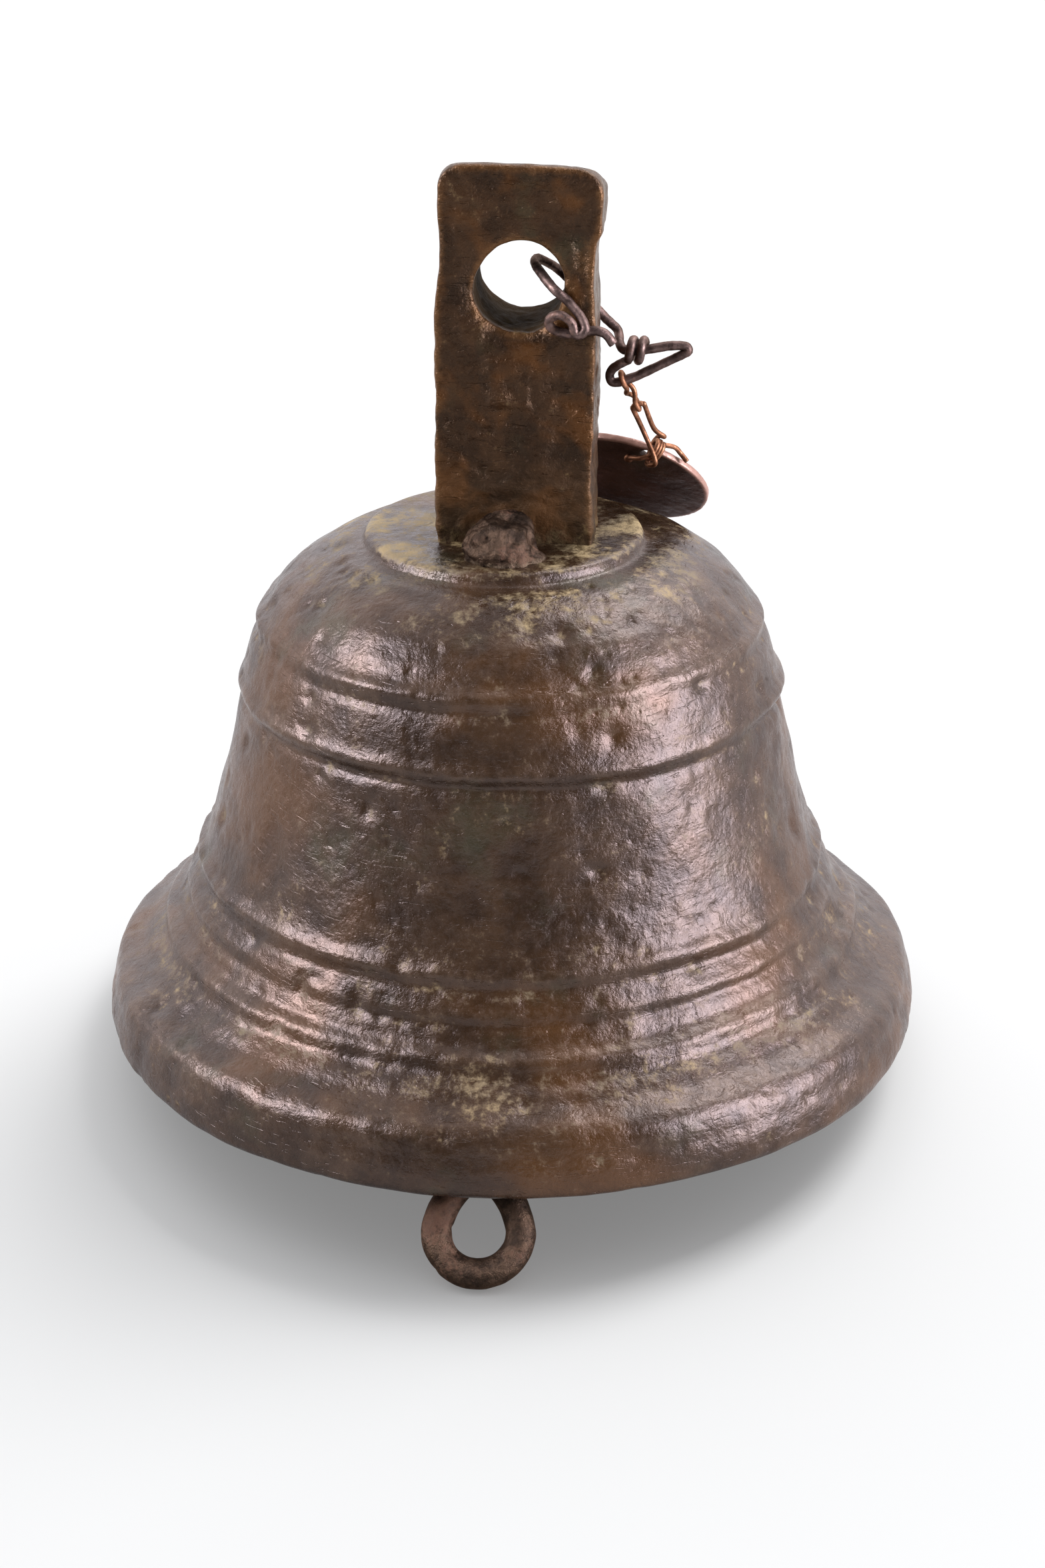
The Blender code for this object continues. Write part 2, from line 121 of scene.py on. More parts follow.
CROWN = frame_at(joint_place("clapper_swing"), joint_axis("clapper_swing"),
                 -joint_axis("tie_wire_lift")) @ Matrix.Translation((0, 0, -PIVOT_HEIGHT))
BELL = CROWN @ Matrix.Rotation(-CROWN_YAW, 4, "Z")
CLAPPER = (CROWN @ Matrix.Translation((0, 0, PIVOT_HEIGHT))
           @ Matrix.Rotation(-SWING_ANGLE, 4, "X"))
LINK_UP = (CROWN.to_3x3() @ (HOOK_POINT - LINK_END)).normalized()
LINK = frame_at(joint_place("link_swing"), joint_axis("link_swing"),
                LINK_UP.cross(joint_axis("link_swing")).normalized())
TAG_WIRE = frame_at(joint_place("tag_wire_swing"), joint_axis("link_swing"),
                    LINK_UP.cross(joint_axis("link_swing")).normalized())
TAG = (CROWN @ Matrix.Translation(TAG_CENTRE) @ TAG_TURN.to_matrix().to_4x4()
       @ Matrix.Rotation(TAG_HOLE_ANGLE, 4, "Y") @ Matrix.Translation((0, 0, TAG_HOLE_PLACE)))


# ---------------------------------------------------------------- camera, floor and light
CAMERA_PLACE = (0, -0.63935, 0.44473)
CAMERA_TURN = (math.radians(59.82), 0, math.radians(-0.26))
CAMERA_LENS_MM = 69.98
CAMERA_SENSOR_MM = 36
LIGHT_TARGET = Vector((0, 0, 0.09))
FLOOR_HALF = 6
FLOOR_GREY = (0.62, 0.62, 0.62, 1)
FLOOR_GLOW = 0.20
ROOM_COLOUR = (0.97, 0.98, 1, 1)
ROOM_DEPTHS = (-0.55, 0.85)   # how far back a direction points, where the room is darkest and brightest
ROOM_STRENGTHS = (0.13, 1.90)


def make_camera():
    camera = bpy.data.objects.new("camera", bpy.data.cameras.new("camera"))
    bpy.context.scene.collection.objects.link(camera)
    camera.data.sensor_width = CAMERA_SENSOR_MM
    camera.data.lens = CAMERA_LENS_MM
    camera.location = CAMERA_PLACE
    camera.rotation_euler = CAMERA_TURN
    bpy.context.scene.camera = camera


def make_light(name, place, size, power, colour=(1, 1, 1)):
    """A rectangular light, in metres and watts, that faces the bell."""
    light = bpy.data.lights.new(name, "AREA")
    light.shape = "RECTANGLE"
    light.size, light.size_y = size
    light.energy = power
    light.color = colour
    obj = bpy.data.objects.new(name, light)
    bpy.context.scene.collection.objects.link(obj)
    obj.location = place
    aim = LIGHT_TARGET - Vector(place)
    obj.rotation_euler = aim.to_track_quat("-Z", "Y").to_euler()
    return obj


def light_world(tree):
    """A pale room, brightest behind the bell and dim in front of it."""
    background = tree.nodes["Background"]
    background.inputs["Color"].default_value = ROOM_COLOUR
    direction = tree.nodes.new("ShaderNodeTexCoord").outputs["Generated"]
    split = tree.nodes.new("ShaderNodeSeparateXYZ")
    tree.links.new(direction, split.inputs[0])
    fall = tree.nodes.new("ShaderNodeMapRange")
    fall.interpolation_type = "SMOOTHSTEP"
    fall.inputs["From Min"].default_value, fall.inputs["From Max"].default_value = ROOM_DEPTHS
    fall.inputs["To Min"].default_value, fall.inputs["To Max"].default_value = ROOM_STRENGTHS
    tree.links.new(split.outputs["Y"], fall.inputs["Value"])
    tree.links.new(fall.outputs["Result"], background.inputs["Strength"])


def make_surroundings():
    """The room's light, a pale floor that glows a little as if lit from below, and the key light."""
    scene = bpy.context.scene
    scene.view_settings.view_transform = "Standard"
    world = bpy.data.worlds.new("world")
    scene.world = world
    world.use_nodes = True
    light_world(world.node_tree)
    mesh = bpy.data.meshes.new("floor")
    bm = bmesh.new()
    bmesh.ops.create_grid(bm, x_segments=1, y_segments=1, size=FLOOR_HALF)
    bm.to_mesh(mesh)
    bm.free()
    floor = bpy.data.objects.new("floor", mesh)
    scene.collection.objects.link(floor)
    paper = bpy.data.materials.new("floor_paper")
    paper.use_nodes = True
    shader = paper.node_tree.nodes["Principled BSDF"]
    shader.inputs["Base Color"].default_value = FLOOR_GREY
    shader.inputs["Roughness"].default_value = 0.9
    shader.inputs["Emission Color"].default_value = (1, 1, 1, 1)
    shader.inputs["Emission Strength"].default_value = FLOOR_GLOW
    shader.inputs["Specular IOR Level"].default_value = 0.1
    mesh.materials.append(paper)
    make_light("key", (1.30, 1.20, 2.40), (1.3, 1.3), 60)


def make_windows(pieces):
    """Two soft windows low at the sides, which shine on the bell alone."""
    lit = bpy.data.collections.new("lit_by_windows")
    for piece in pieces:
        lit.objects.link(piece)
    for window in (
            make_light("right_window", (1.05, -0.40, 0.42), (0.60, 0.95), 36, (0.95, 0.93, 1.0)),
            make_light("left_window", (-1.00, -0.22, 0.70), (0.60, 0.52), 25, (0.96, 0.95, 1.0))):
        window.light_linking.receiver_collection = lit


# ---------------------------------------------------------------- materials

class Shader:
    """A node tree in the making: each call adds a node and returns one of its outputs."""

    def __init__(self, name):
        self.material = bpy.data.materials.new(name)
        self.material.use_nodes = True
        self.tree = self.material.node_tree
        self.principled = self.tree.nodes["Principled BSDF"]
        coords = self.tree.nodes.new("ShaderNodeTexCoord")
        self.place = coords.outputs["Object"]

    def put(self, socket, value):
        if isinstance(value, bpy.types.NodeSocket):
            self.tree.links.new(value, socket)
        elif isinstance(value, tuple) and len(value) == 3 and socket.type == "RGBA":
            socket.default_value = (*value, 1)
        else:
            socket.default_value = value

    def noise(self, size, detail=5, roughness=0.6, stretch=(1, 1, 1), distortion=0.0):
        """Noise whose features are about as big as size, in metres."""
        mapping = self.tree.nodes.new("ShaderNodeMapping")
        mapping.inputs["Scale"].default_value = stretch
        self.put(mapping.inputs["Vector"], self.place)
        node = self.tree.nodes.new("ShaderNodeTexNoise")
        self.put(node.inputs["Vector"], mapping.outputs["Vector"])
        node.inputs["Scale"].default_value = 1 / size
        node.inputs["Detail"].default_value = detail
        node.inputs["Roughness"].default_value = roughness
        node.inputs["Distortion"].default_value = distortion
        return node.outputs["Fac"]

    def cells(self, size):
        """Distance to the nearest of many scattered points, 0 at a point."""
        node = self.tree.nodes.new("ShaderNodeTexVoronoi")
        self.put(node.inputs["Vector"], self.place)
        node.inputs["Scale"].default_value = 1 / size
        return node.outputs["Distance"]

    def attribute(self, name):
        node = self.tree.nodes.new("ShaderNodeAttribute")
        node.attribute_name = name
        return node.outputs["Fac"]

    def math(self, operation, a, b=0.0, clamp=False):
        node = self.tree.nodes.new("ShaderNodeMath")
        node.operation = operation
        node.use_clamp = clamp
        self.put(node.inputs[0], a)
        self.put(node.inputs[1], b)
        return node.outputs[0]

    def step(self, value, low, high, to_low=0.0, to_high=1.0):
        """A smooth step from low to high."""
        node = self.tree.nodes.new("ShaderNodeMapRange")
        node.interpolation_type = "SMOOTHSTEP"
        for name, number in (("From Min", low), ("From Max", high), ("To Min", to_low),
                             ("To Max", to_high)):
            node.inputs[name].default_value = number
        self.put(node.inputs["Value"], value)
        return node.outputs["Result"]

    def mix(self, share, a, b):
        node = self.tree.nodes.new("ShaderNodeMix")
        node.data_type = "RGBA"
        self.put(node.inputs["Factor"], share)
        self.put(node.inputs["A"], a)
        self.put(node.inputs["B"], b)
        return node.outputs["Result"]

    def finish(self, colour, roughness, metallic, height, depth):
        """Joins it all to the shader. depth is how deep a height of 1 is, in metres."""
        bump = self.tree.nodes.new("ShaderNodeBump")
        bump.inputs["Distance"].default_value = depth
        self.put(bump.inputs["Height"], height)
        self.put(self.principled.inputs["Base Color"], colour)
        self.put(self.principled.inputs["Roughness"], roughness)
        self.put(self.principled.inputs["Metallic"], metallic)
        self.put(self.principled.inputs["Normal"], bump.outputs["Normal"])
        return self.material


DUST = (0.250, 0.182, 0.082)
OLD_DUST = (0.130, 0.100, 0.050)
PATINA = (0.040, 0.042, 0.022)
# colour of the bar's darkening: painted shade on its hole's wall, and darker towards its foot
DARK_AND_SHADE = (0.034, 0.021, 0.010)
RUST_DUST = (0.20, 0.155, 0.105)
RUST_TINT = (0.62, 0.50, 0.44)
OLD_METAL_IOR = 1.65
OLD_METAL_SHARE = 0.35     # how metallic the clean metal is under its skin of dirt
OLD_METAL_DEPTH = 0.0008
RUST_DEPTH = 0.00055


def old_metal(name, dark, mid, warm, worn, roughness, grain=1.0, warm_share=0.5,
              tint=(0.78, 0.72, 0.78), blotch=0.034):
    """Mottled old metal in patches about blotch wide. The mesh's wear rubs it and its dust covers it. A
    third mesh value darkens it and dulls its shine: painted shade in a recess, and a plain darkening
    towards the bar's foot. A mesh without one of them has none of it."""
    s = Shader(name)
    broad = s.noise(blotch, 3, 0.5, distortion=0.3)
    medium = s.noise(0.0100, 6, 0.62)
    fine = s.noise(0.0020, 6, 0.7)
    tiny = s.noise(0.00050, 4, 0.6)
    pits = s.step(s.cells(0.0030), 0.04, 0.24)
    colour = s.mix(s.step(medium, 0.30, 0.70), dark, mid)
    colour = s.mix(s.math("MULTIPLY", s.step(broad, 0.50, 0.70), warm_share), colour, warm)
    colour = s.mix(s.step(s.noise(0.023, 5, 0.6), 0.55, 0.75, 0, 0.5), colour, PATINA)
    wear_noise = s.math("ADD", s.math("MULTIPLY", medium, 0.6), s.math("MULTIPLY", fine, 0.9))
    wear = s.step(s.math("ADD", s.attribute("wear"), s.math("SUBTRACT", wear_noise, 0.75)),
                  0.15, 1.05)
    colour = s.mix(s.math("MULTIPLY", wear, 0.7), colour, worn)
    speck = s.step(s.math("ADD", s.math("MULTIPLY", fine, 0.5), s.math("MULTIPLY", tiny, 0.5)),
                   0.53, 0.66)
    colour = s.mix(s.math("MULTIPLY", speck, 0.12), colour, worn)
    dust_noise = s.math("ADD", s.math("MULTIPLY", medium, 1.5), s.math("MULTIPLY", fine, 2.2))
    dusty = s.step(s.math("ADD", s.attribute("dust"), s.math("SUBTRACT", dust_noise, 2.02)),
                   0.10, 1.00)
    dust_colour = s.mix(s.step(broad, 0.42, 0.58), DUST, OLD_DUST)
    colour = s.mix(s.math("MULTIPLY", dusty, 0.85), colour, dust_colour)
    # painted shade where the mesh marks it: a darker colour, less shine and more roughness; on the bar
    # it is also a plain darkening towards the foot
    dark_and_shade = s.attribute("dark_and_shade")
    colour = s.mix(s.math("MULTIPLY", dark_and_shade, 0.80), colour, DARK_AND_SHADE)
    s.put(s.principled.inputs["Specular IOR Level"],
          s.math("SUBTRACT", 0.5, s.math("MULTIPLY", dark_and_shade, 0.50), clamp=True))
    rough = s.math("ADD", s.step(fine, 0.3, 0.7, roughness - 0.07, roughness + 0.12),
                   s.math("MULTIPLY", dusty, 0.40), clamp=True)
    rough = s.math("SUBTRACT", rough, s.math("MULTIPLY", wear, 0.06), clamp=True)
    rough = s.math("ADD", rough, s.math("MULTIPLY", dark_and_shade, 0.50), clamp=True)
    dull = s.math("MAXIMUM", dusty, dark_and_shade)
    metallic = s.math("SUBTRACT", OLD_METAL_SHARE, s.math("MULTIPLY", dull, OLD_METAL_SHARE),
                      clamp=True)
    s.principled.inputs["IOR"].default_value = OLD_METAL_IOR
    s.principled.inputs["Specular Tint"].default_value = (*tint, 1)
    height = s.math("ADD", s.math("MULTIPLY", fine, 0.12), s.math("MULTIPLY", tiny, 0.02))
    height = s.math("ADD", height, s.math("MULTIPLY", medium, 1.1))
    height = s.math("ADD", height, s.math("MULTIPLY", pits, 0.07))
    scratch = s.noise(0.0050, 2, 0.5, stretch=(1.0, 1.0, 7.0), distortion=0.8)
    height = s.math("ADD", height, s.math("MULTIPLY", s.step(scratch, 0.28, 0.38), 0.10))
    return s.finish(colour, rough, metallic, height, OLD_METAL_DEPTH * grain)


def rust_metal(name, dark, mid, orange, roughness, grain=1.0):
    """Forged iron with scale, pits and orange rust."""
    s = Shader(name)
    broad = s.noise(0.011, 4, 0.6)
    medium = s.noise(0.0034, 6, 0.7)
    fine = s.noise(0.0009, 5, 0.7)
    colour = s.mix(s.step(medium, 0.36, 0.64), dark, mid)
    rust = s.step(s.math("ADD", s.math("MULTIPLY", broad, 0.7), s.math("MULTIPLY", fine, 0.5)),
                  0.60, 0.74)
    colour = s.mix(s.math("MULTIPLY", rust, 0.4), colour, orange)
    dusty = s.step(s.math("ADD", s.attribute("dust"), s.math("SUBTRACT", medium, 0.5)), 0.3, 0.8)
    colour = s.mix(dusty, colour, RUST_DUST)
    rough = s.math("ADD", s.step(fine, 0.3, 0.7, roughness - 0.08, roughness + 0.12),
                   s.math("MULTIPLY", rust, 0.18), clamp=True)
    metallic = s.math("SUBTRACT", 0.85, s.math("MULTIPLY", rust, 0.55), clamp=True)
    metallic = s.math("SUBTRACT", metallic, s.math("MULTIPLY", dusty, 0.5), clamp=True)
    s.principled.inputs["Specular Tint"].default_value = (*RUST_TINT, 1)
    height = s.math("ADD", s.math("MULTIPLY", medium, 0.8), s.math("MULTIPLY", fine, 0.5))
    return s.finish(colour, rough, metallic, height, RUST_DEPTH * grain)


def make_materials():
    """Each slot's material, from its darkest colour to its brightest, and its roughness."""
    return {
        "bell_bronze": old_metal("bell_bronze", (0.022, 0.011, 0.005), (0.050, 0.027, 0.014),
                                 (0.092, 0.037, 0.008), (0.100, 0.064, 0.042), 0.27),
        "bar_bronze": old_metal("bar_bronze", (0.010, 0.005, 0.003), (0.036, 0.017, 0.008),
                                (0.085, 0.031, 0.007), (0.120, 0.055, 0.020), 0.28, grain=1.7,
                                warm_share=0.6, tint=(0.62, 0.44, 0.32), blotch=0.013),
        "rusty_iron": rust_metal("rusty_iron", (0.024, 0.016, 0.012), (0.070, 0.044, 0.030),
                                 (0.120, 0.052, 0.030), 0.38),
        "ball_iron": rust_metal("ball_iron", (0.030, 0.020, 0.018), (0.068, 0.046, 0.040),
                                (0.120, 0.052, 0.030), 0.40),
        "iron_wire": rust_metal("iron_wire", (0.060, 0.040, 0.036), (0.160, 0.108, 0.098),
                                (0.150, 0.066, 0.038), 0.40, grain=0.4),
        "copper_wire": rust_metal("copper_wire", (0.140, 0.062, 0.034), (0.300, 0.140, 0.080),
                                  (0.260, 0.100, 0.045), 0.42, grain=0.25),
        "tag_bronze": old_metal("tag_bronze", (0.045, 0.021, 0.014), (0.080, 0.036, 0.025),
                                (0.105, 0.045, 0.026), (0.360, 0.200, 0.155), 0.42, grain=0.5),
    }


# ---------------------------------------------------------------- mesh tools

def bumps(place, size, seed=0.0):
    """Smooth noise from -1 to 1 with features of about the given size."""
    return noise.noise(Vector(place) / size + Vector((seed, 1.7 * seed, 0.3 * seed)))


def hill(value, centre, half_width):
    """1 at the centre, falling smoothly to nothing either side."""
    return math.exp(-((value - centre) / half_width) ** 2)


def ramp(value, low, high):
    """A smooth step from 0 at low to 1 at high, which may be the lower of the two."""
    t = min(max((value - low) / (high - low), 0), 1)
    return t * t * (3 - 2 * t)


def smooth_route(points, steps, cyclic=False):
    """Points along a Catmull-Rom curve through the given ones, steps to each span."""
    given = [Vector(p) for p in points]
    count = len(given)
    route = []
    for i in range(count if cyclic else count - 1):
        if cyclic:
            a, b, c, d = (given[(i + k) % count] for k in (-1, 0, 1, 2))
        else:
            b, c = given[i], given[i + 1]
            a = given[i - 1] if i else 2 * b - c
            d = given[i + 2] if i + 2 < count else 2 * c - b
        for step in range(steps):
            t = step / steps
            route.append(0.5 * (2 * b + (c - a) * t + (2 * a - 5 * b + 4 * c - d) * t**2
                                + (3 * b - a - 3 * c + d) * t**3))
    if not cyclic:
        route.append(given[-1])
    return route


def even_points(points, spacing):
    """Points at an even spacing along a polyline."""
    kept = [points[0]]
    left = spacing
    for a, b in zip(points, points[1:]):
        run = (b - a).length
        at = left
        while at < run:
            kept.append(a.lerp(b, at / run))
            at += spacing
        left = at - run
    kept.append(points[-1])
    return kept


def arc(centre, radius, start, end, steps):
    """(across, up) points of an arc, angles in degrees from the across direction."""
    angles = [math.radians(start + (end - start) * i / steps) for i in range(steps + 1)]
    return [(centre[0] + radius * math.cos(a), centre[1] + radius * math.sin(a)) for a in angles]


def tube_mesh(routes, radius, sides=3, thickness=None):
    """One mesh of round tubes along routes of (points, cyclic). thickness scales each point."""
    curve = bpy.data.curves.new("tube", "CURVE")
    curve.dimensions = "3D"
    curve.bevel_depth = radius
    curve.bevel_resolution = sides
    curve.use_fill_caps = True
    for points, cyclic in routes:
        spline = curve.splines.new("POLY")
        spline.points.add(len(points) - 1)
        for point, place in zip(spline.points, points):
            point.co = (*place, 1)
            point.radius = thickness(place) if thickness else 1
        spline.use_cyclic_u = cyclic
    return evaluated_mesh(curve)


def evaluated_mesh(data, modify=None):
    """The mesh of some object data, after the modifiers that modify adds."""
    obj = bpy.data.objects.new("scratch", data)
    bpy.context.scene.collection.objects.link(obj)
    if modify:
        modify(obj)
    bpy.context.view_layer.update()
    graph = bpy.context.evaluated_depsgraph_get()
    mesh = bpy.data.meshes.new_from_object(obj.evaluated_get(graph))
    bpy.data.objects.remove(obj, do_unlink=True)
    bm = bmesh.new()
    bm.from_mesh(mesh)
    bmesh.ops.remove_doubles(bm, verts=bm.verts, dist=1e-6)
    bmesh.ops.recalc_face_normals(bm, faces=bm.faces)
    bm.to_mesh(mesh)
    bm.free()
    mesh.materials.clear()
    return mesh


def cut_by(mesh, cutter_mesh):
    """The mesh with the cutter's shape taken out of it."""
    cutter = bpy.data.objects.new("cutter", cutter_mesh)
    bpy.context.scene.collection.objects.link(cutter)

    def modify(obj):
        modifier = obj.modifiers.new("cut", "BOOLEAN")
        modifier.operation = "DIFFERENCE"
        modifier.object = cutter
    made = evaluated_mesh(mesh, modify)
    bpy.data.objects.remove(cutter, do_unlink=True)
    return made


def joined(meshes):
    """The meshes in one, still overlapping."""
    bm = bmesh.new()
    for mesh in meshes:
        bm.from_mesh(mesh)
    mesh = bpy.data.meshes.new("joined")
    bm.to_mesh(mesh)
    bm.free()
    return mesh


def forged(mesh, voxel, smoothing):
    """The mesh as one skin of even small faces, with its edges softened."""
    def modify(obj):
        remesh = obj.modifiers.new("skin", "REMESH")
        remesh.mode = "VOXEL"
        remesh.voxel_size = voxel
        smooth = obj.modifiers.new("soften", "SMOOTH")
        smooth.factor = 0.5
        smooth.iterations = smoothing
    return evaluated_mesh(mesh, modify)


def displace(mesh, amount):
    """Moves each vertex along its normal by amount(place, normal), in the mesh's own frame."""
    normals = [v.normal.copy() for v in mesh.vertices]
    for vertex, normal in zip(mesh.vertices, normals):
        vertex.co = vertex.co + normal * amount(vertex.co, normal)
    mesh.update()


def paint(mesh, name, value):
    """Stores value(place, normal) on each vertex, for the materials."""
    layer = mesh.attributes.new(name, "FLOAT", "POINT")
    layer.data.foreach_set("value", [value(v.co, v.normal) for v in mesh.vertices])


def finish_piece(name, mesh, place, body, node, slot):
    """Makes the piece from a mesh drawn in the frame place, riding the body in the node's stead."""
    mesh.name = name
    for looks in ("wear", "dust"):
        if looks not in mesh.attributes:
            mesh.attributes.new(looks, "FLOAT", "POINT")
    mesh.transform(place)
    mesh.shade_smooth()
    mesh.materials.append(MATERIALS[slot])
    obj = bpy.data.objects.new(name, mesh)
    bpy.context.scene.collection.objects.link(obj)
    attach(obj, body)
    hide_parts(node)
    return obj


# ---------------------------------------------------------------- bell

# (height, rise, half width, crease under it) of each raised ring round the bell
BEADS = ((0.1040, 0.0008, 0.0017, 0.0004), (0.0884, 0.0009, 0.0019, 0.0009),
         (0.0440, 0.0010, 0.0018, 0.0006), (0.0362, 0.0004, 0.0014, 0.0003),
         (0.0272, 0.0010, 0.0018, 0.0006))
OUTSIDE = ((0, PLATE_HEIGHT), (0.0318, PLATE_HEIGHT), (0.0330, 0.1240), (0.0333, 0.1219),
           (0.0352, 0.1215), (0.0391, 0.1211), (0.0457, 0.1182), (0.0520, 0.1140),
           (0.0558, 0.1098), (0.0590, 0.1050), (0.0610, 0.1010), (0.0624, 0.0970),
           (0.0639, 0.0920), (0.0648, 0.0880), (0.0655, 0.0820), (0.0663, 0.0780),
           (0.0673, 0.0740), (0.0691, 0.0660), (0.0712, 0.0580), (0.0737, 0.0500),
           (0.0763, 0.0430), (0.0793, 0.0360), (0.0822, 0.0300), (0.0860, 0.0252),
           (0.0900, 0.0222), (0.0934, 0.0192), (0.0963, 0.0162), (0.0986, 0.0125),
           (0.1002, 0.0080), (0.1005, 0.0045), (0.0999, 0.0014), (0.0985, 0))
INSIDE = ((0.0925, 0), (0.0905, 0.0030), (0.0878, 0.0100), (0.0852, 0.0180), (0.0800, 0.0270),
          (0.0745, 0.0370), (0.0695, 0.0470), (0.0655, 0.0600), (0.0622, 0.0750),
          (0.0590, 0.0880), (0.0550, 0.0980), (0.0490, 0.1065), (0.0400, 0.1115),
          (0.0290, 0.1130), (0, 0.1130))
BELL_COLUMNS = 480
OUTSIDE_STEP = 0.00075
INSIDE_STEP = 0.0018
ON_AXIS = 1e-6                # a smaller radius than this is one point
# (rise, size, seed) of the unevenness of the outside, of its lip and of the inside
OUTSIDE_BUMPS = ((0.00070, 0.030, 3), (0.00042, 0.013, 8))
INSIDE_BUMP = (0.00025, 0.012, 61)
LIP_RIDGE = (0.0009, 0.0148, 0.0031)    # rise, height and half width
LIP_HOLLOW = (0.0011, 0.0205, 0.0030)   # the same, of the hollow above it
LIP_FULLNESS = 0.0017                   # how much fuller the lip is in front
PIT_COUNT = 620
PIT_SIZES = (0.0007, 0.0009, 0.0011, 0.0014, 0.0020)
PIT_SEED = 11


def bell_profile():
    """(radius, height, is outside) down the outside and up the inside, closely spaced."""
    rows = []
    for points, step, outside in ((OUTSIDE, OUTSIDE_STEP, True), (INSIDE, INSIDE_STEP, False)):
        run = even_points([Vector((r, z)) for r, z in points], step)
        for _ in range(2):
            inner = [(a + 2 * b + c) / 4 for a, b, c in zip(run, run[1:], run[2:])]
            run = [run[0]] + inner + [run[-1]]
        rows += [(p.x, p.y, outside) for p in run]
    return rows


def bell_relief(place, around, radius, height):
    """How far the outside stands out from its profile, in metres."""
    on_wall = ramp(radius, 0.040, 0.052)
    out = sum(rise * bumps(place, size, seed) for rise, size, seed in OUTSIDE_BUMPS)
    rough_patch = ramp(bumps(place, 0.024, 21), -0.1, 0.4)
    out += (0.00008 + 0.00016 * rough_patch) * bumps(place, 0.0052, 5)
    out += 0.00014 * rough_patch * bumps(place, 0.0026, 13)
    out -= 0.00014 * ramp(bumps(place, 0.0085, 33), 0.35, 0.65)
    for at, rise, half, crease in BEADS:
        sway = 0.0007 * bumps(around, 0.55, at * 900) + 0.0004 * bumps(around, 0.16, at * 500)
        vigour = 1.00 + 0.90 * bumps(around, 0.42, at * 700)
        out += rise * max(vigour, 0.40) * hill(height, at + sway, half)
        out -= crease * max(vigour, 0.40) * hill(height, at + sway - 1.7 * half, 0.8 * half)
    out += LIP_RIDGE[0] * hill(height, *LIP_RIDGE[1:]) * (1 + 0.5 * bumps(around, 0.4, 47))
    out -= LIP_HOLLOW[0] * hill(height, *LIP_HOLLOW[1:])
    lip = ramp(height, 0.030, 0.012)
    front = ramp(-around.y, 0.15, 0.80)
    out += lip * LIP_FULLNESS * front * (1 - 0.35 * hill(around.x, 0, 0.35))
    out += lip * (0.00045 * bumps(around, 0.30, 40) + 0.00025 * bumps(place, 0.009, 44))
    return out * (0.25 + 0.75 * on_wall)


def bell_points():
    """Where each vertex of the bell is, a (radius, height, outside, around) fact about each, and
    how many vertices each row of the profile has."""
    rows = bell_profile()
    coords, facts, counts = [], [], []
    for i, (radius, height, outside) in enumerate(rows):
        before, after = rows[max(i - 1, 0)], rows[min(i + 1, len(rows) - 1)]
        along = Vector((after[0] - before[0], after[1] - before[1])).normalized()
        normal = Vector((-along.y, along.x))
        shift = PLATE_SHIFT * (1 - ramp(radius, 0.034, 0.046)) * outside
        counts.append(1 if radius < ON_AXIS else BELL_COLUMNS)
        for j in range(counts[-1]):
            angle = math.tau * j / BELL_COLUMNS
            around = Vector((math.cos(angle), math.sin(angle), 0))
            place = around * radius + Vector((0, 0, height))
            if not outside:
                rise, size, seed = INSIDE_BUMP
                out = rise * bumps(place, size, seed) * ramp(height, 0.0, 0.004)
            elif radius > ON_AXIS:
                out = bell_relief(place, around, radius, height) * ramp(height, 0.0, 0.003)
            else:
                out = 0.0
            grow = normal * out
            coords.append((around.x * (radius + grow.x) + shift,
                           around.y * (radius + grow.x), height + grow.y))
            facts.append((radius, height, outside, around))
    return coords, facts, counts


def bell_faces(counts):
    """Faces between each row of vertices and the next, where a row of one is a point on the axis."""
    faces = []
    start = 0
    for count, next_count in zip(counts, counts[1:]):
        a, b = start, start + count
        for j in range(BELL_COLUMNS):
            k = (j + 1) % BELL_COLUMNS
            if count == 1:
                faces.append((a, b + j, b + k))
            elif next_count == 1:
                faces.append((a + j, b, a + k))
            else:
                faces.append((a + j, b + j, b + k, a + k))
        start = b
    return faces


def make_bell():
    coords, facts, counts = bell_points()
    mesh = bpy.data.meshes.new("bell_shell")
    mesh.from_pydata(coords, [], bell_faces(counts))
    mesh.update()
    pitted = add_pits(mesh, facts)
    bell_looks(mesh, facts, pitted)
    return finish_piece("bell", mesh, BELL, "bell", "bell_shell", "bell_bronze")


def add_pits(mesh, facts):
    """Casting pits and dents over the outside. Returns how deep each vertex is pitted, 0 to 1."""
    draw = random.Random(PIT_SEED)
    tree = kdtree.KDTree(len(mesh.vertices))
    for vertex in mesh.vertices:
        tree.insert(vertex.co, vertex.index)
    tree.balance()
    outer = [i for i, fact in enumerate(facts) if fact[2] and fact[0] > 0.036]
    depths = [0.0] * len(mesh.vertices)
    moves = [0.0] * len(mesh.vertices)
    for _ in range(PIT_COUNT):
        centre = mesh.vertices[draw.choice(outer)].co
        size = draw.choice(PIT_SIZES)
        deep = size * draw.uniform(0.20, 0.46)
        stretch = draw.uniform(0.35, 1.5)
        for co, index, _ in tree.find_range(centre, 2.2 * size):
            away = co - centre
            away.z *= stretch
            share = hill(away.length, 0, size)
            moves[index] = max(moves[index], deep * share)
            depths[index] = max(depths[index], share)
    normals = [v.normal.copy() for v in mesh.vertices]
    for vertex, normal, move, fact in zip(mesh.vertices, normals, moves, facts):
        if move and fact[2]:
            vertex.co = vertex.co - normal * move
    mesh.update()
    return depths


